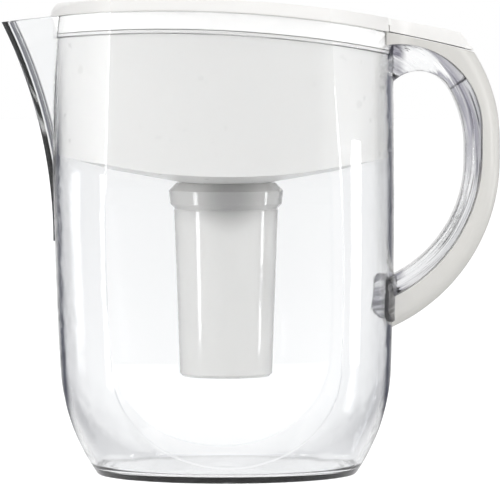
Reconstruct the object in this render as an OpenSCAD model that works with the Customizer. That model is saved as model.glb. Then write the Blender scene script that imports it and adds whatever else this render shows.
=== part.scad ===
// Water filter pitcher with a flip lid.
// Millimetres. +Z is up, the spout points to -X and the handle to +X.
// The origin is the centre of the base, on the plane that the foot rests on.

/* [Tub] */
// Half of the tub's length at the shoulder
tub_half_len = 95.2; // [92:0.2:98]
// Tub width as a share of its length, before the side panels cut it
tub_round = 0.84; // [0.82:0.001:0.86]
// Height of the rim at its highest point
rim_top = 257.2; // [250:0.2:265]
// Wall thickness of the tub
tub_wall = 2.6; // [2:0.1:3]
// Thickness of the tub's floor
tub_floor = 4.2; // [3:0.1:5]
// Radius of the curved heel between floor and side
heel_r = 115; // [110:1:120]
// Height where the heel meets the side
heel_top = 60; // [56:1:64]
// Radius of the long side curve above the heel
side_r = 2700; // [2400:50:3000]
// Height where the side becomes straight
shoulder_h = 180; // [170:1:190]
// Rounding of the foot's edge
foot_r = 1.2; // [0.8:0.1:3]
// Depth of the recess under the base
foot_recess = 1.4; // [0.8:0.1:2]
// How far the tub leans towards the spout over its whole height
tub_lean = 2.6; // [0:0.1:4]

/* [Side panels] */
// Half of the tub's width at the panels, at the base
panel_half_w = 65.3; // [64.5:0.1:66.5]
// Radius of each side panel
panel_r = 211; // [195:1:230]
// Draft angle of the side panels
panel_draft = 1.27; // [0.9:0.01:1.5]

/* [Rim] */
// Radius of the arch that the rim follows
rim_arch_r = 700; // [650:5:800]
// Place of the arch's top along the length
rim_arch_x = -38.5; // [-45:0.5:-30]
// Depth of the seat inside the rim for the reservoir and the lid
rim_seat_depth = 12; // [10:0.5:14]
// Width of that seat's ledge
rim_ledge = 1.3; // [1:0.1:1.6]

/* [Spout] */
// Radius of the spout's front line
spout_arc_r = 274; // [265:1:285]
// Height where the spout leaves the tub's front
spout_low = 130; // [120:1:140]
// How far the spout's lowest point stands in front of the tub
spout_front = 2.8; // [2.2:0.1:3.4]
// Radius of the spout's nose
spout_nose_r = 8; // [6:0.5:10]
// Radius inside the spout's nose
spout_inner_r = 9; // [7:0.5:11]
// Half of the spout's opening angle
spout_half_angle = 35; // [30:1:38]
// Wall thickness of the spout at its nose
spout_wall = 5; // [4:0.1:6]

/* [Handle] */
// How far the grip stands out from the tub
grip_reach = 55.7; // [54:0.1:58]
// How far under the rim's top the grip's lower arc is centred
grip_drop = 82.3; // [78:0.1:86]
// Width of the white grip cover
grip_w = 27; // [24:0.5:30]
// Radius of the grip's lower back
grip_low_r = 102.3; // [98:0.1:106]
// Radius of the grip's upper back
grip_high_r = 90; // [86:0.5:94]
// Wall thickness of the grip cover
grip_wall = 2.4; // [2:0.1:3]
// Thickness of the grip cover at its middle
cover_depth = 10.2; // [9.4:0.1:11]
// Thickness of the clear spine at its middle
spine_depth = 9.2; // [8:0.1:10]
// Width of the clear spine
spine_w = 21; // [18:0.5:23]
// Width of the rib on the spine's back that the cover snaps on
rib_w = 6; // [4:0.5:8]
// Height of that rib
rib_h = 4; // [3:0.5:5]
// Rounding of the spine's outer edges, beside the cover
spine_back_r = 7; // [5:0.5:9]
// Half of the width of the pad that carries the spine's foot on the tub
pad_half_w = 28; // [24:0.5:30]
// Height of that pad
pad_h = 25; // [22:0.5:28]
// How far the pad stands out from the tub
pad_t = 1.6; // [1.2:0.1:2.4]
// Half of the cover's collar where it meets the tub
collar_half_w = 27; // [24:0.5:29]
// Height of the collar under the rim
collar_h = 7; // [5:0.5:9]

/* [Reservoir] */
// Wall thickness of the reservoir
tank_wall = 1.8; // [1.5:0.1:2.2]
// Gap between the reservoir and the tub
tank_gap = 0.5; // [0.4:0.05:0.8]
// Height of the reservoir's rim band
tank_rim_h = 2; // [1.6:0.1:2.6]
// Distance of the filter's axis from the base centre
filter_x = -1.7; // [-4:0.1:0]
// Depth of the funnel's lower end under the rim's top
funnel_low = 94.4; // [90:0.1:98]
// Depth under the rim's top where the funnel meets the long ends
funnel_high = 77.7; // [74:0.1:82]
// Width of the funnel as a share of its length
funnel_round = 1.3; // [1.1:0.02:1.8]
// Outer radius of the funnel's neck
neck_r = 25.6; // [25:0.1:26.5]
// Length of the neck inside the sleeve
neck_len = 9; // [7:0.5:10]

/* [Filter sleeve] */
// Outer radius of the sleeve's collar
sleeve_collar_r = 31.9; // [31:0.1:33]
// Outer radius of the sleeve under its collar
sleeve_top_r = 29; // [28.4:0.1:29.6]
// Outer radius of the sleeve at its foot
sleeve_foot_r = 25.8; // [25:0.1:26.6]
// Height of the sleeve's foot
sleeve_foot = 54.6; // [52:0.2:58]
// Wall thickness of the sleeve
sleeve_wall = 1.8; // [1.5:0.1:2.2]
// Number of outlet slots in the sleeve's foot
sleeve_slots = 8; // [6:1:10]

/* [Cartridge] */
// Outer radius of the cartridge at its shoulder
cartridge_top_r = 22.4; // [21.8:0.1:22.8]
// Outer radius of the cartridge at its foot
cartridge_foot_r = 20.6; // [20:0.1:21.4]
// Gap between the cartridge's foot and the sleeve's floor
cartridge_gap = 4; // [3:0.5:6]
// Wall thickness of the cartridge
cartridge_wall = 1.3; // [1.1:0.1:1.6]
// Outer radius of the cartridge's flange
flange_r = 28.4; // [27.6:0.1:29]
// Thickness of the flange
flange_t = 2.2; // [1.8:0.1:2.6]
// Height of the domed cap above the flange
dome_h = 13; // [11:0.5:15]
// Number of inlet slots round the cap
cap_slots = 12; // [8:1:14]
// Thickness of the two screens
screen_t = 0.8; // [0.6:0.1:1]

/* [Lid] */
// Overhang of the lid past the tub's rim
lid_overhang = 0.5; // [0.4:0.1:1.6]
// Thickness of the lid at the top of its arch
lid_crown = 6.4; // [6:0.1:7.4]
// Radius of the arch of the lid's top
lid_arch_r = 780; // [740:5:820]
// Rounding of the lid's upper edge at the spout's end
lid_round = 10.5; // [7:0.5:12]
// Thickness of the lid's top plate
lid_plate = 2.2; // [1.8:0.1:2.6]
// Thickness of the lid's skirt
skirt_t = 1.8; // [1.5:0.1:2.2]
// Gap between the lid and what it rests on or drops into
lid_gap = 0.4; // [0.25:0.05:0.5]

/* [Flip lid] */
// Place of the hinge along the length
hinge_x = -46; // [-50:0.5:-42]
// Radius of the hinge's barrel
barrel_r = 2.4; // [2.2:0.05:2.6]
// Radius of the hinge's pins
pin_r = 1.1; // [1:0.05:1.3]
// Length of each hinge pin
pin_len = 14; // [12:0.5:16]
// Half of the hatch's width
hatch_half_w = 42; // [38:0.5:46]
// Thickness of the hatch's plate
hatch_t = 2.4; // [2.2:0.1:2.6]
// Width of the ledge that the hatch rests on
hatch_ledge = 4; // [3:0.5:5]
// How far inside the tub's end the seam between the lid and the thumb tab lies
tab_root_x = 7.2; // [5:0.2:9]
// How far inside the grip's outermost line the thumb tab ends
tab_end_x = 13.9; // [11:0.1:16]
// Radius of the hollows where the thumb tab narrows
tab_blend_r = 18; // [14:1:22]
// Wall thickness of the thumb tab
tab_wall = 2; // [1.6:0.1:2.4]

/* [Hidden] */
// Facets of a full circle, so that no chord stands off its arc by more than chord_off
chord_off = 0.02;
function facets(r) = max(48, 4 * ceil(45 / acos(1 - chord_off / r)));
// A length for cuts that only have to pass through
through = 400;
// A small overlap that keeps a cut from ending on a face
eps = 0.05;

// Tub: the heel's arc is tangent to the side's arc at heel_top
side_drop = shoulder_h - heel_top;
side_angle = asin(side_drop / side_r);
side_c = [tub_half_len - side_r, shoulder_h];
heel_tangent = side_c + side_r * [cos(side_angle), -sin(side_angle)];
heel_c = heel_tangent - heel_r * [cos(side_angle), -sin(side_angle)];
tub_top = rim_top + 14;
lean_per_mm = -tub_lean / rim_top;
lean_start = -1.2;
oval_matrix = [
    [1, 0, lean_per_mm, lean_start],
    [0, tub_round, 0, 0],
    [0, 0, 1, 0],
    [0, 0, 0, 1]
];

// Insets from the tub's outside to each nested wall
seat_inset = tub_wall - rim_ledge;
tank_inset = tub_wall + tank_gap;
tank_rim_inset = seat_inset + tank_gap;
skirt_inset = seat_inset + lid_gap;

// Arches, given by the drop from the rim's own arch
seat_drop = rim_seat_depth;
tank_rim_drop = seat_drop - tank_rim_h;
skirt_drop = tank_rim_drop - lid_gap;
lid_top_apex = rim_top + lid_gap + lid_crown;

// Handle: centres of the arcs that the grip's lines follow
grip_far_x = tub_half_len + grip_reach;
grip_z = rim_top - grip_drop;
grip_low_c = [grip_far_x - grip_low_r, grip_z];
grip_high_c = [grip_far_x - grip_high_r, grip_z + 11.1];
bond_reach = grip_far_x - cover_depth;
bond_low_r = 88;
bond_low_c = [bond_reach - bond_low_r, grip_z + 3.1];
bond_high_r = 46.5;
bond_high_c = [bond_reach - bond_high_r, grip_z + 18.1];
hole_reach = bond_reach - spine_depth;
hole_low_r = 71;
hole_low_c = [hole_reach - hole_low_r, grip_z];
hole_high_r = 65;
hole_high_c = [hole_reach - hole_high_r, grip_z + 7.1];
hole_top_r = 20;
hole_turn = 30;
hole_top_c = hole_high_c + (hole_high_r - hole_top_r) * [cos(hole_turn), sin(hole_turn)];
handle_root_x = tub_half_len - 11.2;
grip_edge_r = 8;
spine_edge_r = 4;
spine_sweep_depth = 26;
cover_sweep_depth = 40;
pocket_low = grip_z - 75;
pocket_high = grip_z + 55;
pad_low = grip_z - 89.3;
weld = 1;

// Filter: heights and radii down the filter's axis
funnel_low_z = rim_top - funnel_low;
funnel_high_z = rim_top - funnel_high;
collar_top = funnel_low_z - 4.8;
collar_low = funnel_low_z - 12.2;
collar_foot = funnel_low_z - 14.8;
shoulder_top = funnel_low_z - 0.4;
shoulder_r = 27.6;
neck_wall = 1.8;
neck_bore_r = neck_r - neck_wall;
neck_foot = funnel_low_z - neck_len;
seat_top = funnel_low_z + 5.5;
cartridge_foot = sleeve_foot + sleeve_wall + cartridge_gap;
cartridge_shoulder = neck_foot - 2;
seal_gap = 0.15;
seal_ring_r = 1.1;
seal_z = neck_foot + 3.5;

// Hinge: the barrel lies just under the lid's top
function arch_z(r, apex, x) = apex - r + sqrt(r * r - pow(x - rim_arch_x, 2));
hinge_z = arch_z(lid_arch_r, lid_top_apex, hinge_x) - barrel_r - 0.1;
barrel_half_len = 33;
pin_clear = 0.05;
hatch_gap = 0.4;
hatch_bulge_r = 170;
hatch_bulge_x = 12;
function hatch_half(x) = hatch_half_w - hatch_bulge_r
    + sqrt(pow(hatch_bulge_r, 2) - pow(x - hatch_bulge_x, 2));
seam_x = tub_half_len - tab_root_x;
tab_far_x = grip_far_x - tab_end_x;

clear_plastic = [0.86, 0.89, 0.91, 0.35];
tank_white = [0.90, 0.90, 0.90];
lid_white = [0.97, 0.97, 0.96];
cover_white = [0.91, 0.91, 0.89];
sleeve_grey = [0.84, 0.84, 0.84];
cartridge_white = [0.93, 0.93, 0.92];
seal_grey = [0.45, 0.45, 0.46];
media_black = [0.16, 0.15, 0.14];
steel = [0.72, 0.72, 0.74];

// ---- Shared shapes ----

// A flat shape drawn in X and Z, made thick along Y
module along_y(width) {
    rotate([90, 0, 0]) linear_extrude(width, center = true) children();
}

// A flat section (radius, width) swept about an axis along Y through [x, z]
module sweep_about_y(centre, from, to) {
    translate([centre[0], 0, centre[1]]) rotate([90, 0, 0]) rotate([0, 0, from])
        rotate_extrude(angle = to - from, $fn = facets(120)) children();
}

// Everything below the rim's arch, lowered by drop
module below_arch(drop) {
    r = rim_arch_r - drop;
    translate([rim_arch_x, 0, rim_top - rim_arch_r]) rotate([90, 0, 0])
        cylinder(r = r, h = through, center = true, $fn = facets(r));
}

// Everything below the arch of the lid's top, lowered by drop
module below_lid_arch(drop) {
    r = lid_arch_r - drop;
    translate([rim_arch_x, 0, lid_top_apex - lid_arch_r]) rotate([90, 0, 0])
        cylinder(r = r, h = through, center = true, $fn = facets(r));
}

// Height at distance x from the axis of the line through the heel's and the side's centres
function split_z(x) = heel_c[1] + (x - heel_c[0]) * (heel_tangent[1] - heel_c[1])
    / (heel_tangent[0] - heel_c[0]);
half_reach = tub_half_len + 5;

// Half of the tub's section above its heel, moved in by inset
module side_half_profile(inset) {
    translate([0, shoulder_h]) square([tub_half_len - inset, tub_top - shoulder_h]);
    intersection() {
        polygon([
            [0, split_z(0)], [half_reach, split_z(half_reach)],
            [half_reach, shoulder_h], [0, shoulder_h]
        ]);
        translate(side_c) circle(r = side_r - inset, $fn = facets(side_r));
    }
}

// Half of the tub's section below that, with its rounded foot standing on floor_z
module heel_half_profile(inset, floor_z, corner_r) {
    heel_in = heel_r - inset;
    corner_z = floor_z + corner_r;
    corner_x = heel_c[0] + sqrt(pow(heel_in - corner_r, 2) - pow(heel_c[1] - corner_z, 2));
    corner = [corner_x, corner_z];
    touch = heel_c + (corner - heel_c) * heel_in / (heel_in - corner_r);
    beyond = corner + (touch - corner) * 3;
    difference() {
        intersection() {
            polygon([
                [0, floor_z], [half_reach, floor_z],
                [half_reach, split_z(half_reach)], [0, split_z(0)]
            ]);
            translate(heel_c) circle(r = heel_in, $fn = facets(heel_r));
        }
        difference() {
            polygon([
                corner, beyond, [beyond[0], floor_z - corner_r], [corner_x, floor_z - corner_r]
            ]);
            translate(corner) circle(r = corner_r, $fn = facets(corner_r));
        }
    }
}

// The space between the two side panels, moved in by inset
module between_panels(inset) {
    intersection_for(side = [0, 1])
        mirror([0, side, 0]) translate([0, panel_r - panel_half_w, 0]) rotate([panel_draft, 0, 0])
            translate([0, 0, -20])
                cylinder(r = panel_r - inset, h = tub_top + 60, $fn = facets(panel_r));
}

// The tub's outer form moved in by inset, standing on floor_z
module tub_form(inset, floor_z, corner_r) {
    intersection() {
        multmatrix(oval_matrix) rotate_extrude($fn = facets(tub_half_len)) {
            side_half_profile(inset);
            heel_half_profile(inset, floor_z, corner_r);
        }
        between_panels(inset);
    }
}

// The part of that form above height from, which is over the heel
module tub_form_above(inset, from) {
    intersection() {
        multmatrix(oval_matrix) rotate_extrude($fn = facets(tub_half_len)) {
            if (from < shoulder_h) intersection() {
                side_half_profile(inset);
                translate([0, from]) square([half_reach, tub_top - from]);
            }
            else translate([0, from]) square([tub_half_len - inset, tub_top - from]);
        }
        between_panels(inset);
    }
}

// Flat outline of the spout: a nose of radius nose_r, set back by inset, with two straight flanks
module spout_section(inset, nose_r) {
    centre = spout_arc_r + inset + nose_r;
    far = spout_arc_r + 34;
    touch = [centre - nose_r * sin(spout_half_angle), nose_r * cos(spout_half_angle)];
    far_half = touch[1] + (far - touch[0]) * tan(spout_half_angle);
    translate([centre, 0]) circle(r = nose_r, $fn = facets(nose_r));
    polygon([touch, [far, far_half], [far, -far_half], [touch[0], -touch[1]]]);
}

module spout_form(inset, nose_r) {
    sweep_about_y([-tub_half_len - spout_front - spout_arc_r, spout_low], 0, 34)
        spout_section(inset, nose_r);
}

// ---- Tub ----

module pitcher_body() {
    foot_cut = 0.1;
    color(clear_plastic) difference() {
        intersection() {
            union() {
                tub_form(0, -foot_cut, foot_r);
                spout_form(0, spout_nose_r);
            }
            below_arch(0);
            translate([-through / 2, -through / 2, 0]) cube(through);
        }
        tub_form(tub_wall, tub_floor, 6);
        spout_form(spout_wall, spout_inner_r);
        difference() {
            tub_form_above(seat_inset, rim_top - 60);
            below_arch(seat_drop);
        }
        // recess under the base, with the round mark of the mould's gate
        difference() {
            translate([lean_start, 0, -eps]) scale([1, tub_round, 1])
                cylinder(r1 = 66, r2 = 64, h = foot_recess + eps, $fn = facets(66));
            translate([lean_start, 0, foot_recess - 0.5]) cylinder(r = 3.5, h = 1);
        }
    }
}

// ---- Handle ----

// Everything inside the grip's back line, moved in by inset
module grip_area(inset) {
    translate(grip_low_c) circle(r = grip_low_r - inset, $fn = facets(grip_low_r));
    translate(grip_high_c) circle(r = grip_high_r - inset, $fn = facets(grip_high_r));
    translate([0, grip_low_c[1]]) square([grip_far_x - inset, grip_high_c[1] - grip_low_c[1]]);
}

// Everything inside the line where the white cover meets the clear spine, moved by out
module bond_area(out) {
    intersection() {
        translate(bond_low_c) circle(r = bond_low_r + out, $fn = facets(bond_low_r));
        translate([0, -50]) square([through, bond_low_c[1] + 50]);
    }
    translate([0, bond_low_c[1]])
        square([bond_reach + out, bond_high_c[1] - bond_low_c[1]]);
    translate(bond_high_c) circle(r = bond_high_r + out, $fn = facets(bond_high_r));
}

// Section of a bar with its back at radius r, rounded corners on the side named by face
module bar_section(r, depth, width, edge_r, face) {
    inner = face < 0 ? r : r - depth;
    edge_x = face < 0 ? r + edge_r : r - edge_r;
    flat_x = face < 0 ? edge_x : inner;
    translate([flat_x, -width / 2]) square([depth - edge_r, width]);
    translate([inner, -width / 2 + edge_r]) square([depth, width - 2 * edge_r]);
    for (side = [-1, 1])
        translate([edge_x, side * (width / 2 - edge_r)]) circle(r = edge_r, $fn = facets(edge_r));
}

// Bar that follows the grip's back, its outer edges rounded
module grip_bar() {
    sweep_about_y(grip_low_c, 0, -80)
        bar_section(grip_low_r, cover_sweep_depth, grip_w, grip_edge_r, 1);
    sweep_about_y(grip_high_c, 0, 60)
        bar_section(grip_high_r, cover_sweep_depth, grip_w, grip_edge_r, 1);
    translate([0, 0, grip_low_c[1]]) linear_extrude(grip_high_c[1] - grip_low_c[1])
        bar_section(grip_far_x, cover_sweep_depth, grip_w, grip_edge_r, 1);
}

// Bar round the finger opening, its inner edges rounded
module spine_bar() {
    sweep_about_y(hole_low_c, 0, -80)
        bar_section(hole_low_r, spine_sweep_depth, spine_w, spine_edge_r, -1);
    sweep_about_y(hole_high_c, 0, hole_turn)
        bar_section(hole_high_r, spine_sweep_depth, spine_w, spine_edge_r, -1);
    sweep_about_y(hole_top_c, hole_turn, 160)
        bar_section(hole_top_r, spine_sweep_depth, spine_w, spine_edge_r, -1);
    translate([0, 0, hole_low_c[1]]) linear_extrude(hole_high_c[1] - hole_low_c[1])
        bar_section(hole_reach, spine_sweep_depth, spine_w, spine_edge_r, -1);
}

// Bar that follows the line where the cover meets the spine, its outer edges rounded
module bond_bar() {
    sweep_about_y(bond_low_c, 0, -80)
        bar_section(bond_low_r, cover_sweep_depth, spine_w, spine_back_r, 1);
    sweep_about_y(bond_high_c, 0, 115)
        bar_section(bond_high_r, cover_sweep_depth, spine_w, spine_back_r, 1);
    translate([0, 0, bond_low_c[1]]) linear_extrude(bond_high_c[1] - bond_low_c[1])
        bar_section(bond_reach, cover_sweep_depth, spine_w, spine_back_r, 1);
}

// Pad on the tub that carries the spine's foot
module spine_pad() {
    corner = 7;
    intersection() {
        tub_form_above(-pad_t, heel_top + 10);
        translate([handle_root_x - 30, 0, pad_low + pad_h / 2]) rotate([90, 0, 90])
            linear_extrude(60) hull() for (side = [-1, 1], end = [-1, 1])
                translate([side * (pad_half_w - corner), end * (pad_h / 2 - corner)])
                    circle(r = corner, $fn = facets(corner));
    }
}

// Rib on the spine's back that stands in the cover's pocket
module spine_rib() {
    intersection() {
        along_y(rib_w) difference() {
            bond_area(rib_h);
            bond_area(-1);
        }
        translate([handle_root_x + 16, -grip_w, pocket_low + 12])
            cube([through, 2 * grip_w, pocket_high - pocket_low - 20]);
    }
}

module handle_spine() {
    color(clear_plastic) intersection() {
        difference() {
            union() {
                intersection() {
                    spine_bar();
                    bond_bar();
                }
                spine_rib();
                spine_pad();
            }
            tub_form(weld, weld, foot_r);
            translate([0, -through / 2, 0]) cube([handle_root_x - 14, through, through]);
        }
        below_arch(lid_gap);
    }
}

// Plan of the lid's overhanging edge
module lid_outline() {
    translate([lean_start - tub_lean, 0]) scale([1, tub_round])
        circle(r = tub_half_len + lid_overhang, $fn = facets(tub_half_len));
}

// Plan of the tab and the cover's collar: the lid's outline narrowing onto the grip
module tab_plan(root_x, root_half_w, end_x, shrink) {
    end_r = 7;
    tail_half_w = grip_w / 2;
    offset(r = -tab_blend_r - shrink, $fn = facets(tab_blend_r)) offset(delta = tab_blend_r) {
        intersection() {
            lid_outline();
            translate([root_x, -root_half_w]) square([40, 2 * root_half_w]);
        }
        translate([root_x, -tail_half_w]) square([end_x - root_x - end_r, 2 * tail_half_w]);
    }
    hull() for (side = [-1, 1]) translate([end_x - end_r, side * (tail_half_w - end_r)])
        circle(r = end_r - shrink, $fn = facets(end_r));
}

module handle_cover() {
    pocket_side = 5;
    collar_end_x = grip_far_x - 26;
    color(cover_white) intersection() {
        difference() {
            union() {
                grip_bar();
                difference() {
                    linear_extrude(through)
                        tab_plan(handle_root_x - 4, collar_half_w, collar_end_x, 0);
                    below_arch(collar_h);
                }
            }
            along_y(through) bond_area(0);
            spine_pad();
            intersection() {
                along_y(grip_w - 2 * pocket_side) grip_area(grip_wall);
                translate([handle_root_x + 12, -grip_w, pocket_low])
                    cube([through, 2 * grip_w, pocket_high - pocket_low]);
            }
            tub_form(0, 0, foot_r);
            translate([0, -through / 2, 0]) cube([handle_root_x - 6, through, through]);
        }
        below_arch(0);
    }
}

// ---- Reservoir ----

// Underside of the funnel, as a solid to take away, raised by lift
module funnel_void(lift) {
    end_r = tub_half_len + 4;
    mid_r = (neck_r + end_r) / 2;
    sag = 1.6;
    translate([filter_x, 0, lift]) scale([1, funnel_round, 1]) rotate_extrude($fn = facets(end_r))
        polygon([
            [0, -20], [end_r + 20, -20], [end_r + 20, funnel_high_z + 6.3],
            [end_r, funnel_high_z], [mid_r, (funnel_low_z + funnel_high_z) / 2 - sag],
            [neck_r, funnel_low_z], [0, funnel_low_z]
        ]);
}

module reservoir_tank() {
    color(tank_white) difference() {
        union() {
            intersection() {
                difference() {
                    tub_form_above(tank_inset, funnel_low_z - 10);
                    funnel_void(0);
                }
                below_arch(tank_rim_drop);
            }
            difference() {
                intersection() {
                    tub_form_above(tank_rim_inset, rim_top - 60);
                    below_arch(tank_rim_drop);
                }
                below_arch(seat_drop - eps);
            }
            translate([filter_x, 0, neck_foot]) cylinder(r = neck_r, h = seat_top - neck_foot + 3,
                $fn = facets(neck_r));
        }
        difference() {
            tub_form_above(tank_inset + tank_wall, funnel_low_z - 10);
            funnel_void(tank_wall);
            translate([filter_x, 0, 0]) cylinder(r = neck_r + 4, h = seat_top, $fn = facets(neck_r));
        }
        translate([filter_x, 0, seat_top]) cylinder(r = flange_r + 1, h = 20, $fn = facets(flange_r));
        translate([filter_x, 0, 0]) cylinder(r = neck_bore_r, h = through, $fn = facets(neck_bore_r));
    }
}

// ---- Filter sleeve ----

module filter_sleeve() {
    inner_top = sleeve_top_r - sleeve_wall;
    inner_foot = sleeve_foot_r - sleeve_wall;
    floor_top = sleeve_foot + sleeve_wall;
    color(sleeve_grey) translate([filter_x, 0, 0]) difference() {
        rotate_extrude($fn = facets(sleeve_collar_r)) polygon([
            [0, sleeve_foot], [sleeve_foot_r - 1.6, sleeve_foot], [sleeve_foot_r, sleeve_foot + 1.6],
            [sleeve_top_r, collar_foot - 1], [sleeve_top_r - 0.4, collar_foot],
            [sleeve_collar_r - 0.8, collar_low], [sleeve_collar_r, collar_top],
            [sleeve_collar_r - 1.2, collar_top + 1.2], [shoulder_r, shoulder_top],
            [neck_r + 0.02, shoulder_top],
            [neck_r + 0.02, neck_foot + 1], [inner_top, neck_foot - 4],
            [inner_foot, floor_top], [0, floor_top]
        ]);
        for (i = [0 : sleeve_slots - 1]) rotate([0, 0, i * 360 / sleeve_slots])
            translate([9, -1.6, sleeve_foot - 1]) cube([10, 3.2, sleeve_wall + 2]);
        translate([0, 0, sleeve_foot - 1]) cylinder(r = 4, h = sleeve_wall + 2, $fn = facets(4));
    }
}

// ---- Cartridge ----

module cartridge_housing() {
    floor_top = cartridge_foot + cartridge_wall;
    color(cartridge_white) translate([filter_x, 0, 0]) difference() {
        union() {
            translate([0, 0, cartridge_foot])
                cylinder(r1 = cartridge_foot_r, r2 = cartridge_top_r,
                    h = cartridge_shoulder - cartridge_foot, $fn = facets(cartridge_top_r));
            translate([0, 0, cartridge_shoulder])
                cylinder(r = cartridge_top_r, h = seat_top - cartridge_shoulder,
                    $fn = facets(cartridge_top_r));
            translate([0, 0, seat_top]) cylinder(r = flange_r, h = flange_t, $fn = facets(flange_r));
        }
        translate([0, 0, floor_top])
            cylinder(r1 = cartridge_foot_r - cartridge_wall, r2 = cartridge_top_r - cartridge_wall,
                h = cartridge_shoulder - floor_top, $fn = facets(cartridge_top_r));
        translate([0, 0, cartridge_shoulder - eps])
            cylinder(r = cartridge_top_r - cartridge_wall, h = 40, $fn = facets(cartridge_top_r));
        // groove of the seal ring
        translate([0, 0, seal_z]) rotate_extrude($fn = facets(neck_bore_r))
            translate([neck_bore_r - seal_gap - seal_ring_r, 0]) circle(r = seal_ring_r, $fn = 48);
        for (i = [0 : 5]) rotate([0, 0, i * 60])
            translate([6, -1.25, cartridge_foot - 1]) cube([10, 2.5, cartridge_wall + 2]);
    }
}

module cartridge_cap() {
    cap_foot = seat_top + flange_t;
    cap_r = flange_r - 2;
    bed_r = cartridge_top_r - cartridge_wall;
    dome_r = (cap_r * cap_r + dome_h * dome_h) / (2 * dome_h);
    color(cartridge_white) translate([filter_x, 0, cap_foot]) {
        difference() {
            intersection() {
                translate([0, 0, dome_h - dome_r]) sphere(r = dome_r, $fn = facets(dome_r));
                cylinder(r = cap_r + 1, h = dome_h + 1, $fn = facets(cap_r));
            }
            intersection() {
                translate([0, 0, dome_h - dome_r]) sphere(r = dome_r - 1.4, $fn = facets(dome_r));
                translate([0, 0, -eps]) cylinder(r = bed_r, h = dome_h, $fn = facets(cap_r));
            }
            for (i = [0 : cap_slots - 1]) rotate([0, 0, i * 360 / cap_slots])
                translate([10, -0.9, -1]) cube([8.5, 1.8, dome_h + 2]);
        }
        // pull loop
        translate([0, 0, dome_h - 1]) rotate([90, 0, 0]) rotate_extrude(angle = 180, $fn = 96)
            translate([7, 0]) circle(r = 1.2, $fn = 32);
    }
}

module seal_ring() {
    color(seal_grey) translate([filter_x, 0, seal_z]) rotate_extrude($fn = facets(neck_bore_r))
        translate([neck_bore_r - seal_gap - seal_ring_r, 0]) circle(r = seal_ring_r, $fn = 48);
}

// Inner radius of the cartridge at height z
function bed_radius(z) = cartridge_foot_r - cartridge_wall
    + (cartridge_top_r - cartridge_foot_r) * (z - cartridge_foot - cartridge_wall)
    / (cartridge_shoulder - cartridge_foot - cartridge_wall);

bed_low = cartridge_foot + cartridge_wall;
bed_high = seat_top - 3;

module inlet_screen() {
    color(cartridge_white) translate([filter_x, 0, bed_high])
        cylinder(r = cartridge_top_r - cartridge_wall, h = screen_t, $fn = facets(cartridge_top_r));
}

module outlet_screen() {
    color(cartridge_white) translate([filter_x, 0, bed_low])
        cylinder(r1 = bed_radius(bed_low), r2 = bed_radius(bed_low + screen_t), h = screen_t,
            $fn = facets(cartridge_foot_r));
}

module filter_media() {
    bed_r = cartridge_top_r - cartridge_wall;
    color(media_black) translate([filter_x, 0, 0]) {
        translate([0, 0, bed_low + screen_t])
            cylinder(r1 = bed_radius(bed_low + screen_t), r2 = bed_r,
                h = cartridge_shoulder - bed_low - screen_t, $fn = facets(bed_r));
        translate([0, 0, cartridge_shoulder])
            cylinder(r = bed_r, h = bed_high - cartridge_shoulder, $fn = facets(bed_r));
    }
}

// ---- Lid ----

// Plan of the hatch, grown by grow
module hatch_plan(grow) {
    intersection() {
        translate([hinge_x - grow, -hatch_half_w - grow])
            square([seam_x + 1 - hinge_x + 2 * grow, 2 * (hatch_half_w + grow)]);
        translate([hatch_bulge_x, hatch_bulge_r - hatch_half_w])
            circle(r = hatch_bulge_r + grow, $fn = facets(hatch_bulge_r));
        translate([hatch_bulge_x, hatch_half_w - hatch_bulge_r])
            circle(r = hatch_bulge_r + grow, $fn = facets(hatch_bulge_r));
    }
}

// Plan of the fill opening inside the hatch's ledge
module fill_plan() {
    corner = 6;
    offset(r = corner, $fn = facets(corner)) intersection() {
        hatch_plan(-hatch_ledge - corner);
        translate([hinge_x + barrel_r + hatch_ledge + corner, -hatch_half_w])
            square([through, 2 * hatch_half_w]);
    }
}

// A plan made thick between the rim's arch (raised by low) and the lid's top (lowered by high)
module lid_slab(low, high) {
    difference() {
        intersection() {
            linear_extrude(through) children();
            below_lid_arch(high);
        }
        below_arch(-low);
    }
}

// Place behind the seam, which the thumb tab fills
module tab_notch(grow) {
    translate([seam_x - grow, -tub_half_len]) square([through, 2 * tub_half_len]);
}

// Dome that rounds the lid's upper edge at the spout's end
module lid_dome() {
    dome_r = tub_half_len + lid_overhang;
    edge_z = lid_top_apex + 0.1 - lid_round;
    translate([lean_start - tub_lean, 0, 0]) {
        rotate_extrude($fn = facets(dome_r)) {
            translate([0, edge_z - 40]) square([dome_r, 40]);
            translate([0, edge_z - 40]) square([dome_r - lid_round, 40 + lid_round]);
            translate([dome_r - lid_round, edge_z])
                circle(r = lid_round, $fn = facets(lid_round));
        }
        translate([-dome_r * 0.35, -through / 2, edge_z - 40])
            cube([through, through, 40 + lid_round]);
    }
}

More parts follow.
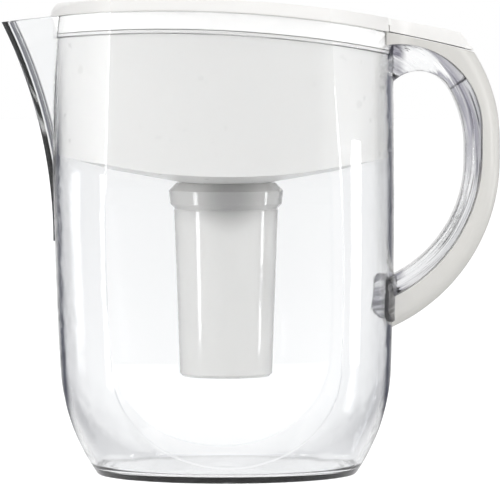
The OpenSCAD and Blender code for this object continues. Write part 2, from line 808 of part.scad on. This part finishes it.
module lid_frame() {
    well_wall = 4;
    boss_half_w = barrel_half_len + pin_len / 2 + 2;
    boss_front = 6;
    relief = 3.4;
    relief_half_w = hatch_half(hinge_x + relief) + hatch_gap + 0.3;
    color(lid_white) difference() {
        union() {
            difference() {
                intersection() {
                    tub_form_above(-lid_overhang, rim_top - 60);
                    below_lid_arch(0);
                    lid_dome();
                }
                below_arch(-lid_gap);
            }
            difference() {
                intersection() {
                    tub_form_above(skirt_inset, rim_top - 60);
                    below_arch(-lid_gap - eps);
                }
                below_arch(skirt_drop);
                tub_form_above(skirt_inset + skirt_t, rim_top - 70);
            }
        }
        // hollow underside, up to the top plate, but not the hatch's well
        difference() {
            intersection() {
                tub_form_above(skirt_inset + skirt_t, rim_top - 60);
                below_lid_arch(lid_plate);
            }
            linear_extrude(through) hatch_plan(hatch_gap + well_wall);
            linear_extrude(through) tab_notch(hatch_gap + well_wall);
            translate([hinge_x - boss_front, -boss_half_w, 0])
                cube([boss_front + well_wall, 2 * boss_half_w, through]);
        }
        // the hatch's seat and the fill opening
        lid_slab(lid_crown - hatch_t - lid_gap, -1) hatch_plan(hatch_gap);
        linear_extrude(through) fill_plan();
        lid_slab(lid_gap / 2, -1) tab_notch(hatch_gap);
        // room in front of the hinge for the hatch's edge as it turns past upright
        translate([hinge_x - relief, -relief_half_w, hinge_z - 1])
            cube([2 * relief, 2 * relief_half_w, 20]);
        // the hinge's trough and the two blind holes for its pins
        translate([hinge_x, 0, hinge_z]) rotate([90, 0, 0]) {
            cylinder(r = barrel_r + hatch_gap, h = 2 * barrel_half_len + 2 * hatch_gap, center = true,
                $fn = facets(barrel_r));
            cylinder(r = pin_r, h = 2 * barrel_half_len + pin_len, center = true, $fn = facets(pin_r));
        }
    }
}

module flip_lid() {
    color(lid_white) difference() {
        union() {
            lid_slab(lid_crown - hatch_t, 0) hatch_plan(0);
            intersection() {
                lid_slab(2 * lid_gap, 0) tab_plan(seam_x, tub_half_len, tab_far_x, 0);
                along_y(through) grip_area(0);
            }
            translate([hinge_x, 0, hinge_z]) rotate([90, 0, 0])
                cylinder(r = barrel_r, h = 2 * barrel_half_len, center = true, $fn = facets(barrel_r));
        }
        // hollow underside of the thumb tab
        intersection() {
            lid_slab(0, lid_plate) tab_plan(seam_x, tub_half_len, tab_far_x, tab_wall);
            along_y(through) grip_area(tab_wall);
            translate([seam_x + tab_wall, -through / 2, 0]) cube(through);
        }
        for (side = [-1, 1])
            translate([hinge_x, side * barrel_half_len, hinge_z]) rotate([90, 0, 0])
                cylinder(r = pin_r + pin_clear, h = pin_len + 1, center = true, $fn = facets(pin_r));
    }
}

module hinge_pins() {
    color(steel) for (side = [-1, 1])
        translate([hinge_x, side * barrel_half_len, hinge_z]) rotate([90, 0, 0])
            cylinder(r = pin_r, h = pin_len, center = true, $fn = facets(pin_r));
}

pitcher_body();
handle_spine();
handle_cover();
reservoir_tank();
filter_sleeve();
cartridge_housing();
cartridge_cap();
seal_ring();
inlet_screen();
outlet_screen();
filter_media();
lid_frame();
flip_lid();
hinge_pins();
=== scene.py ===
"""Looks of the water filter pitcher: clear tub, white plastics, studio light and camera."""

import math

import bpy
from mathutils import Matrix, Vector

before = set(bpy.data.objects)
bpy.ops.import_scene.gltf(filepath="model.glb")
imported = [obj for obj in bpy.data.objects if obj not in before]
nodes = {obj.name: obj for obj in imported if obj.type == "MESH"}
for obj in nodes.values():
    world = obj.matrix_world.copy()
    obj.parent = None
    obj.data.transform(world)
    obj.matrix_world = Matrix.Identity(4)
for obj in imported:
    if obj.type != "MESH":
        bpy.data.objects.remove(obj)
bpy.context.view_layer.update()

MM = 0.001

# The photograph: its size, the real size of a pixel, and where the axis and the base are in it
PHOTO_W = 500
PHOTO_H = 485
MM_PER_PX = 0.5577
AXIS_PX = 229.0
BASE_PX = 473.5

# The camera: how far from the object, how high over the table, how far round it
CAMERA_DISTANCE = 2.3
CAMERA_HEIGHT = 0.235
CAMERA_AZIMUTH = math.radians(-2.0)
CAMERA_NEAREST = 0.05
SENSOR_MM = 36.0

# Colours of the plastics
LID_WHITE = (0.975, 0.965, 0.945)
TANK_WHITE = (0.745, 0.74, 0.725)
COVER_WHITE = (0.735, 0.725, 0.695)
SLEEVE_GREY = (0.65, 0.645, 0.63)
CARTRIDGE_WHITE = (0.84, 0.84, 0.83)
CLEAR = (0.975, 0.98, 0.985)
# What the lamps' light keeps of its colour on its way through the clear plastic
CLEAR_SHADOW = (0.9, 0.9, 0.905)
CLEAR_IOR = 1.54
WHITE_IOR = 1.49
# How round the edges of the clear plastic look
EDGE_RADIUS = 0.0012
# Faces that meet at a larger angle than this have a sharp edge between them
SHARP_ANGLE = math.radians(28)
# Corners of neighbouring faces closer than this are joined where a node's seams would show
SEAM_GAP = 0.00001

# The spine: the two arcs that bound the finger gap, by centre in x and z, and radius
GAP_ARCS = ((0.0605, 0.1749, 0.071), (0.0665, 0.182, 0.065))
# The painted shade that the clear spine is tinted to on its outer half and at its roots, in
# place of the shadow and dark refraction seen through it there
PAINTED_SPINE_SHADE = (0.16, 0.155, 0.2)
# Distances from the finger gap, and heights, over which the painted shade on the spine's outer
# half grows dark
SPINE_SHADE_REACH = (0.0025, 0.0055)
SPINE_SHADE_RISE = (0.15, 0.185)
# Stretch of the length over which the painted shade at the spine's roots fades
ROOT_SHADE_REACH = (0.094, 0.0995)

# Painted shadow of the funnel on the sleeve's collar: its centre, and how far it fades from
# there
PAINTED_SHADOW_CENTRE = (0, -0.032, 0.1545)
PAINTED_SHADOW_REACH = (0.003, 0.024)
# The painted shadow is faintly darker above a step this far under that point
PAINTED_SHADOW_STEP = (0.016, 0.004)

# The floor, with a hair of room under the foot, so that the two faces aren't in one plane
FLOOR_HALF = 12.0
FLOOR_GAP = 0.0002
PAPER = (0.7, 0.7, 0.7)
WHITE = (1, 1, 1)
# The floor's own light, for the camera and for what the plastics show of it
CAMERA_LIGHT = 0.6
SHOWN_LIGHT = 0.42
# The world's light on the object
WORLD_LIGHT = 0.8
# What the clear and glossy plastics see of the room at the object's two sides
FLAG_DARK = (0.14, 0.145, 0.185)
# The share of the flags' darkness that the paper itself has there
FLAG_ON_PAPER = 0.3
# How dark the room is at shares of the way from straight behind (0) to straight sideways (1)
SIDE_FIRST = (0.15, 0.0)
SIDE_STOPS = ((0.3, 0.2), (0.4, 0.6), (0.5, 1.0), (0.65, 1.0), (0.75, 0.6), (0.85, 0.4))
SIDE_LAST = (1.0, 0.35)

# Soft boxes: name, degrees to the right of the camera's side of the object, width, height,
# watts, distance from the axis, height over the floor, and whether the box is only mirrored
SOFT_BOXES = (
    # low strips that the filter sleeve and the tub's creases mirror
    ("left_strip", -66, 0.085, 0.28, 0.77, 0.6, 0.12, True),
    ("right_strip", 86, 0.07, 0.2, 0.45, 0.6, 0.08, True),
    # higher strips that only the creases beside the reservoir mirror
    ("left_edge_strip", -57, 0.06, 0.15, 0.4, 0.6, 0.2, True),
    ("right_edge_strip", 56, 0.06, 0.15, 0.4, 0.6, 0.2, True),
    ("left_fill", -42, 1.2, 1.0, 8, 2.3, 1.1, False),
    ("right_fill", 42, 1.2, 1.0, 12, 2.3, 1.1, False),
    ("top_light", 180, 1.2, 1.2, 1.5, 0.5, 1.9, False),
)
# The point that the soft boxes are turned to
LIT_POINT = (0, 0, 0.14)


# ---- Node helpers ----


def new_material(name):
    material = bpy.data.materials.new(name)
    material.use_nodes = True
    material.node_tree.nodes.clear()
    return material, material.node_tree


def add(tree, kind, **settings):
    node = tree.nodes.new(kind)
    for key, value in settings.items():
        setattr(node, key, value)
    return node


def noise(tree, coordinates, scale, detail=2.0):
    texture = add(tree, "ShaderNodeTexNoise")
    texture.inputs["Scale"].default_value = scale
    texture.inputs["Detail"].default_value = detail
    texture.inputs["Roughness"].default_value = 0.5
    tree.links.new(coordinates, texture.inputs["Vector"])
    return texture.outputs["Fac"]


def map_range(tree, value, start, end, first, last, **settings):
    node = add(tree, "ShaderNodeMapRange", **settings)
    node.inputs["From Min"].default_value = start
    node.inputs["From Max"].default_value = end
    node.inputs["To Min"].default_value = first
    node.inputs["To Max"].default_value = last
    tree.links.new(value, node.inputs["Value"])
    return node.outputs["Result"]


def spread(tree, value, low, high):
    """value, a texture's 0.3 to 0.7, spread from low to high."""
    return map_range(tree, value, 0.3, 0.7, low, high)


def ramp(tree, value, start, end, first, last):
    """value's stretch from start to end turned smoothly into first to last."""
    return map_range(
        tree, value, start, end, first, last, interpolation_type="SMOOTHSTEP"
    )


def combine(tree, operation, first, second):
    node = add(tree, "ShaderNodeMath", operation=operation)
    tree.links.new(first, node.inputs[0])
    tree.links.new(second, node.inputs[1])
    return node.outputs["Value"]


def with_number(tree, operation, value, number):
    node = add(tree, "ShaderNodeMath", operation=operation)
    node.inputs[1].default_value = number
    tree.links.new(value, node.inputs[0])
    return node.outputs["Value"]


def band(tree, value, low, high, soft):
    """1 where value lies between low and high, with soft edges, and 0 elsewhere."""
    return combine(
        tree, "MULTIPLY",
        ramp(tree, value, low - soft, low + soft, 0, 1),
        ramp(tree, value, high + soft, high - soft, 0, 1),
    )


def tint(tree, value, dark, light):
    """A colour between dark and light, by value from 0 to 1."""
    node = add(tree, "ShaderNodeMix", data_type="RGBA")
    node.inputs["A"].default_value = (*dark, 1)
    node.inputs["B"].default_value = (*light, 1)
    tree.links.new(value, node.inputs["Factor"])
    return node.outputs["Result"]


def bump(tree, height, strength, distance, normal=None):
    node = add(tree, "ShaderNodeBump")
    node.inputs["Strength"].default_value = strength
    node.inputs["Distance"].default_value = distance
    tree.links.new(height, node.inputs["Height"])
    if normal is not None:
        tree.links.new(normal, node.inputs["Normal"])
    return node.outputs["Normal"]


def object_coordinates(tree):
    return add(tree, "ShaderNodeTexCoord").outputs["Object"]


def parts_of(tree, vector):
    """The sockets X, Y and Z of a vector."""
    node = add(tree, "ShaderNodeSeparateXYZ")
    tree.links.new(vector, node.inputs["Vector"])
    return node.outputs


def distance_from(tree, place, point):
    node = add(tree, "ShaderNodeVectorMath", operation="DISTANCE")
    node.inputs[1].default_value = point
    tree.links.new(place, node.inputs[0])
    return node.outputs["Value"]


def finish_material(tree, shader):
    output = add(tree, "ShaderNodeOutputMaterial")
    tree.links.new(shader, output.inputs["Surface"])


def shade(colour, share):
    return tuple(channel * share for channel in colour)


# ---- White plastics ----


def painted_shadow(tree, colour, place, centre):
    """colour with a painted shadow: darker round centre and, more faintly, above a step just
    under it.
    """
    low, high = (centre[2] - below for below in PAINTED_SHADOW_STEP)
    round_centre = ramp(tree, distance_from(tree, place, centre), *PAINTED_SHADOW_REACH, 0.5, 1)
    above_step = ramp(tree, parts_of(tree, place)["Z"], low, high, 1, 0.84)
    darker = add(tree, "ShaderNodeVectorMath", operation="SCALE")
    tree.links.new(colour, darker.inputs["Vector"])
    tree.links.new(
        combine(tree, "MULTIPLY", round_centre, above_step), darker.inputs["Scale"]
    )
    return darker.outputs["Vector"]


def moulded_plastic(name, colour, roughness, grain_strength=0.05, glow=0.0, shadow=None):
    """Moulded plastic: faint clouding, uneven gloss, a slow waviness and a fine grain.

    shadow is the centre of a shadow of the funnel, painted into the colour.
    """
    material, tree = new_material(name)
    place = object_coordinates(tree)
    body = add(tree, "ShaderNodeBsdfPrincipled")
    clouds = noise(tree, place, 28, detail=3)
    mottled = tint(tree, spread(tree, clouds, 0, 1), shade(colour, 0.985), colour)
    # Painted shadow: the colour darkened round the given point
    if shadow is not None:
        mottled = painted_shadow(tree, mottled, place, shadow)
    tree.links.new(mottled, body.inputs["Base Color"])
    wear = noise(tree, place, 140, detail=4)
    tree.links.new(
        spread(tree, wear, roughness - 0.03, roughness + 0.04), body.inputs["Roughness"]
    )
    waves = bump(tree, noise(tree, place, 18, detail=1), 0.04, 0.0006)
    grain = bump(tree, noise(tree, place, 1800), grain_strength, 0.0001, waves)
    tree.links.new(grain, body.inputs["Normal"])
    body.inputs["IOR"].default_value = WHITE_IOR
    body.inputs["Subsurface Weight"].default_value = glow
    body.inputs["Subsurface Radius"].default_value = (1.0, 0.95, 0.9)
    body.inputs["Subsurface Scale"].default_value = 0.002
    finish_material(tree, body.outputs["BSDF"])
    return material


# ---- Clear plastic ----


def spine_depth(tree, place):
    """How far a point of the spine is from the finger gap, which two arcs bound."""
    flat = add(tree, "ShaderNodeVectorMath", operation="MULTIPLY")
    flat.inputs[1].default_value = (1, 0, 1)
    tree.links.new(place, flat.inputs[0])
    depths = []
    for x, z, radius in GAP_ARCS:
        away = distance_from(tree, flat.outputs["Vector"], (x, 0, z))
        depths.append(with_number(tree, "SUBTRACT", away, radius))
    return combine(tree, "MINIMUM", *depths)


def flow_lines(tree, depth, height):
    """Height of the lines that run along the spine, beside the finger gap."""
    along = add(tree, "ShaderNodeCombineXYZ")
    tree.links.new(depth, along.inputs["X"])
    tree.links.new(with_number(tree, "MULTIPLY", height, 0.05), along.inputs["Y"])
    return noise(tree, along.outputs["Vector"], 230, detail=1.5)


def spine_lines_and_painted_shade(tree, place):
    """The spine's flow lines, and how dark the painted shade is on its outer half and at its
    roots.
    """
    parts = parts_of(tree, place)
    depth = spine_depth(tree, place)
    lines = flow_lines(tree, depth, parts["Z"])
    # Painted shade on the spine's outer half, away from the finger gap
    outer_shade = combine(
        tree, "MULTIPLY",
        ramp(tree, depth, *SPINE_SHADE_REACH, 0, 1),
        ramp(tree, parts["Z"], *SPINE_SHADE_RISE, 0.35, 1),
    )
    outer_shade = combine(tree, "MULTIPLY", outer_shade, ramp(tree, lines, 0.3, 0.6, 0.45, 1))
    # Painted shade at the spine's roots, in place of the dark refraction there
    root_shade = combine(
        tree, "MULTIPLY",
        ramp(tree, parts["X"], *ROOT_SHADE_REACH, 1, 0),
        ramp(tree, lines, 0.35, 0.6, 0.1, 1),
    )
    return lines, combine(tree, "MAXIMUM", outer_shade, root_shade)


def clear_plastic(name, lined_and_shaded=False):
    """Clear moulded plastic that lets the lamps' light through to what it holds.

    This flag is for the spine: its flow lines, and painted shade on its outer half and at its
    roots, in place of shadow and dark refraction seen through it.
    """
    material, tree = new_material(name)
    place = object_coordinates(tree)
    body = add(tree, "ShaderNodeBsdfPrincipled")
    body.inputs["Base Color"].default_value = (*CLEAR, 1)
    body.inputs["Transmission Weight"].default_value = 1.0
    body.inputs["IOR"].default_value = CLEAR_IOR
    body.inputs["Roughness"].default_value = 0.01
    edges = add(tree, "ShaderNodeBevel", samples=4)
    edges.inputs["Radius"].default_value = EDGE_RADIUS
    swell = noise(tree, place, 14, detail=1)
    waves = bump(tree, swell, 0.02, 0.0008, edges.outputs["Normal"])
    if lined_and_shaded:
        lines, dark = spine_lines_and_painted_shade(tree, place)
        waves = bump(tree, lines, 1.0, 0.003, waves)
        # Painted shade: the clear plastic tinted dark on the spine's outer half and at its
        # roots
        tree.links.new(tint(tree, dark, CLEAR, PAINTED_SPINE_SHADE), body.inputs["Base Color"])
    tree.links.new(waves, body.inputs["Normal"])
    through = add(tree, "ShaderNodeBsdfTransparent")
    through.inputs["Color"].default_value = (*CLEAR_SHADOW, 1)
    mix = add(tree, "ShaderNodeMixShader")
    path = add(tree, "ShaderNodeLightPath")
    tree.links.new(path.outputs["Is Shadow Ray"], mix.inputs["Fac"])
    tree.links.new(body.outputs["BSDF"], mix.inputs[1])
    tree.links.new(through.outputs["BSDF"], mix.inputs[2])
    finish_material(tree, mix.outputs["Shader"])
    return material


# ---- Small parts ----


def seal_rubber(name):
    """Dull soft rubber with a fine bloom."""
    material, tree = new_material(name)
    place = object_coordinates(tree)
    body = add(tree, "ShaderNodeBsdfPrincipled")
    bloom = spread(tree, noise(tree, place, 400, detail=4), 0, 1)
    colour = tint(tree, bloom, (0.16, 0.16, 0.17), (0.22, 0.22, 0.23))
    tree.links.new(colour, body.inputs["Base Color"])
    tree.links.new(spread(tree, bloom, 0.55, 0.8), body.inputs["Roughness"])
    finish_material(tree, body.outputs["BSDF"])
    return material


def fine_screen(name):
    """Woven plastic screen: two crossed sets of threads."""
    material, tree = new_material(name)
    place = object_coordinates(tree)
    body = add(tree, "ShaderNodeBsdfPrincipled")
    threads = []
    for direction in ("X", "Y"):
        wave = add(tree, "ShaderNodeTexWave", wave_type="BANDS", bands_direction=direction)
        wave.inputs["Scale"].default_value = 260
        tree.links.new(place, wave.inputs["Vector"])
        threads.append(wave.outputs["Fac"])
    weave = combine(tree, "MAXIMUM", *threads)
    colour = tint(tree, weave, (0.45, 0.45, 0.44), (0.8, 0.8, 0.79))
    tree.links.new(colour, body.inputs["Base Color"])
    tree.links.new(bump(tree, weave, 0.6, 0.0003), body.inputs["Normal"])
    body.inputs["Roughness"].default_value = 0.6
    finish_material(tree, body.outputs["BSDF"])
    return material


def granules(name):
    """Black carbon granules with paler resin beads among them."""
    material, tree = new_material(name)
    place = object_coordinates(tree)
    body = add(tree, "ShaderNodeBsdfPrincipled")
    cells = add(tree, "ShaderNodeTexVoronoi")
    cells.inputs["Scale"].default_value = 900
    tree.links.new(place, cells.inputs["Vector"])
    pick = add(tree, "ShaderNodeSeparateColor")
    tree.links.new(cells.outputs["Color"], pick.inputs["Color"])
    colour = tint(tree, pick.outputs["Red"], (0.012, 0.012, 0.012), (0.09, 0.075, 0.05))
    tree.links.new(colour, body.inputs["Base Color"])
    tree.links.new(bump(tree, cells.outputs["Distance"], 0.9, 0.0006), body.inputs["Normal"])
    body.inputs["Roughness"].default_value = 0.7
    finish_material(tree, body.outputs["BSDF"])
    return material


def pin_steel(name):
    """Drawn steel wire, with fine scratches along it."""
    material, tree = new_material(name)
    place = object_coordinates(tree)
    stretch = add(tree, "ShaderNodeMapping")
    stretch.inputs["Scale"].default_value = (1, 0.03, 1)
    tree.links.new(place, stretch.inputs["Vector"])
    body = add(tree, "ShaderNodeBsdfPrincipled")
    lines = noise(tree, stretch.outputs["Vector"], 4000, detail=3)
    body.inputs["Base Color"].default_value = (0.5, 0.5, 0.52, 1)
    body.inputs["Metallic"].default_value = 1.0
    tree.links.new(spread(tree, lines, 0.2, 0.4), body.inputs["Roughness"])
    finish_material(tree, body.outputs["BSDF"])
    return material


# ---- Pieces ----


def dress(material, *names, join=False):
    """Gives CAD nodes a material, with smooth shading broken at their sharp edges.

    join is for a node whose smooth faces meet in seams that would show.
    """
    for name in names:
        piece = nodes[name]
        piece.data.materials.clear()
        piece.data.materials.append(material)
        for face in piece.data.polygons:
            face.use_smooth = True
        if join:
            weld = piece.modifiers.new("joined_seams", "WELD")
            weld.merge_threshold = SEAM_GAP
        split = piece.modifiers.new("sharp_edges", "EDGE_SPLIT")
        split.split_angle = SHARP_ANGLE
        split.use_edge_sharp = False
        if join:
            even = piece.modifiers.new("even_normals", "WEIGHTED_NORMAL")
            even.mode = "CORNER_ANGLE"


def dress_all():
    dress(clear_plastic("clear_plastic"), "pitcher_body")
    dress(clear_plastic("clear_plastic_lined_and_shaded", lined_and_shaded=True), "handle_spine", join=True)
    dress(moulded_plastic("cover_white", COVER_WHITE, 0.34, glow=0.1), "handle_cover")
    dress(moulded_plastic("tank_white", TANK_WHITE, 0.3, glow=0.15), "reservoir_tank")
    dress(
        moulded_plastic(
            "sleeve_grey", SLEEVE_GREY, 0.07, grain_strength=0.02, glow=0.1,
            shadow=PAINTED_SHADOW_CENTRE,
        ),
        "filter_sleeve",
    )
    dress(moulded_plastic("lid_white", LID_WHITE, 0.34, glow=0.1), "lid_frame", "flip_lid")
    dress(
        moulded_plastic("cartridge_white", CARTRIDGE_WHITE, 0.3, glow=0.1),
        "cartridge_housing", "cartridge_cap",
    )
    dress(seal_rubber("seal_grey"), "seal_ring")
    dress(fine_screen("screen_white"), "inlet_screen", "outlet_screen")
    dress(granules("media_black"), "filter_media")
    dress(pin_steel("pin_steel"), "hinge_pins")


# ---- Studio ----


def shown_rays(tree, path):
    """1 for the rays that show the room in glossy or clear plastic."""
    glossy, through = path.outputs["Is Glossy Ray"], path.outputs["Is Transmission Ray"]
    return combine(tree, "MAXIMUM", glossy, through)


def dark_sides(tree, heading):
    """How dark the room is in a direction: flags stand beside the backdrop, then pale walls."""
    parts = parts_of(tree, heading)
    side = add(tree, "ShaderNodeMath", operation="ABSOLUTE")
    tree.links.new(parts["X"], side.inputs[0])
    profile = add(tree, "ShaderNodeValToRGB")
    stops = profile.color_ramp.elements
    for stop, (share, darkness) in zip(stops, (SIDE_FIRST, SIDE_LAST)):
        stop.position = share
        stop.color = (darkness, darkness, darkness, 1)
    for share, darkness in SIDE_STOPS:
        stops.new(share).color = (darkness, darkness, darkness, 1)
    tree.links.new(side.outputs["Value"], profile.inputs["Fac"])
    behind = band(tree, parts["Y"], -0.3, 2, 0.1)
    level = band(tree, parts["Z"], -2, 0.5, 0.15)
    beside = combine(tree, "MULTIPLY", profile.outputs["Color"], behind)
    return combine(tree, "MULTIPLY", beside, level)


def floor_material():
    """White paper: it keeps the object's shadow, and clips to white in open light."""
    material, tree = new_material("floor_white")
    path = add(tree, "ShaderNodeLightPath")
    shown = shown_rays(tree, path)
    place = object_coordinates(tree)
    away = add(tree, "ShaderNodeVectorMath", operation="LENGTH")
    tree.links.new(place, away.inputs[0])
    heading = add(tree, "ShaderNodeVectorMath", operation="NORMALIZE")
    tree.links.new(place, heading.inputs[0])
    far = ramp(tree, away.outputs["Value"], 0.1, 0.35, 0.3, 1)
    dark = combine(tree, "MULTIPLY", dark_sides(tree, heading.outputs["Vector"]), far)
    seen = combine(tree, "MULTIPLY", dark, shown)
    paper = add(tree, "ShaderNodeBsdfDiffuse")
    paper_colour = tint(tree, seen, PAPER, shade(FLAG_DARK, FLAG_ON_PAPER))
    tree.links.new(paper_colour, paper.inputs["Color"])
    light = add(tree, "ShaderNodeEmission")
    tree.links.new(tint(tree, seen, WHITE, FLAG_DARK), light.inputs["Color"])
    strength = combine(
        tree, "MAXIMUM",
        with_number(tree, "MULTIPLY", path.outputs["Is Camera Ray"], CAMERA_LIGHT),
        with_number(tree, "MULTIPLY", shown, SHOWN_LIGHT),
    )
    tree.links.new(strength, light.inputs["Strength"])
    both = add(tree, "ShaderNodeAddShader")
    tree.links.new(paper.outputs["BSDF"], both.inputs[0])
    tree.links.new(light.outputs["Emission"], both.inputs[1])
    finish_material(tree, both.outputs["Shader"])
    return material


def make_floor():
    mesh = bpy.data.meshes.new("floor")
    half = FLOOR_HALF
    z = -FLOOR_GAP
    corners = [(-half, -half, z), (half, -half, z), (half, half, z), (-half, half, z)]
    mesh.from_pydata(corners, [], [(0, 1, 2, 3)])
    mesh.materials.append(floor_material())
    floor = bpy.data.objects.new("floor", mesh)
    bpy.context.scene.collection.objects.link(floor)


def make_world():
    """White all round, with dark flags at the sides that glass and gloss pick up."""
    world = bpy.data.worlds.new("studio")
    bpy.context.scene.world = world
    world.use_nodes = True
    tree = world.node_tree
    tree.nodes.clear()
    path = add(tree, "ShaderNodeLightPath")
    shown = shown_rays(tree, path)
    heading = add(tree, "ShaderNodeTexCoord").outputs["Generated"]
    seen = combine(tree, "MULTIPLY", dark_sides(tree, heading), shown)
    studio = add(tree, "ShaderNodeBackground")
    studio.inputs["Strength"].default_value = 1.0
    tree.links.new(tint(tree, seen, WHITE, FLAG_DARK), studio.inputs["Color"])
    fill = add(tree, "ShaderNodeBackground")
    fill.inputs["Color"].default_value = (*WHITE, 1)
    fill.inputs["Strength"].default_value = WORLD_LIGHT
    visible = combine(tree, "MAXIMUM", path.outputs["Is Camera Ray"], shown)
    mix = add(tree, "ShaderNodeMixShader")
    tree.links.new(visible, mix.inputs["Fac"])
    tree.links.new(fill.outputs["Background"], mix.inputs[1])
    tree.links.new(studio.outputs["Background"], mix.inputs[2])
    output = add(tree, "ShaderNodeOutputWorld")
    tree.links.new(mix.outputs["Shader"], output.inputs["Surface"])


def aim(thing, target):
    thing.rotation_mode = "QUATERNION"
    thing.rotation_quaternion = (Vector(target) - thing.location).to_track_quat("-Z", "Y")


def soft_box(name, azimuth, width, height, watts, distance, lift, mirrored_only):
    lamp = bpy.data.lights.new(name, "AREA")
    lamp.shape = "RECTANGLE"
    lamp.size = width
    lamp.size_y = height
    lamp.energy = watts
    piece = bpy.data.objects.new(name, lamp)
    turn = math.radians(azimuth)
    piece.location = (distance * math.sin(turn), -distance * math.cos(turn), lift)
    aim(piece, LIT_POINT)
    piece.visible_diffuse = not mirrored_only
    bpy.context.scene.collection.objects.link(piece)


def make_camera():
    lens = bpy.data.cameras.new("camera")
    lens.sensor_width = SENSOR_MM
    lens.lens = SENSOR_MM * CAMERA_DISTANCE / (PHOTO_W * MM_PER_PX * MM)
    lens.clip_start = CAMERA_NEAREST
    camera = bpy.data.objects.new("camera", lens)
    target = Vector((
        (PHOTO_W / 2 - AXIS_PX) * MM_PER_PX * MM,
        0,
        (BASE_PX - PHOTO_H / 2) * MM_PER_PX * MM,
    ))
    camera.location = (
        target.x + CAMERA_DISTANCE * math.sin(CAMERA_AZIMUTH),
        -CAMERA_DISTANCE * math.cos(CAMERA_AZIMUTH),
        CAMERA_HEIGHT,
    )
    aim(camera, target)
    bpy.context.scene.collection.objects.link(camera)
    bpy.context.scene.camera = camera


make_camera()
dress_all()
make_floor()
make_world()
for box in SOFT_BOXES:
    soft_box(*box)
bpy.context.scene.view_settings.view_transform = "Standard"
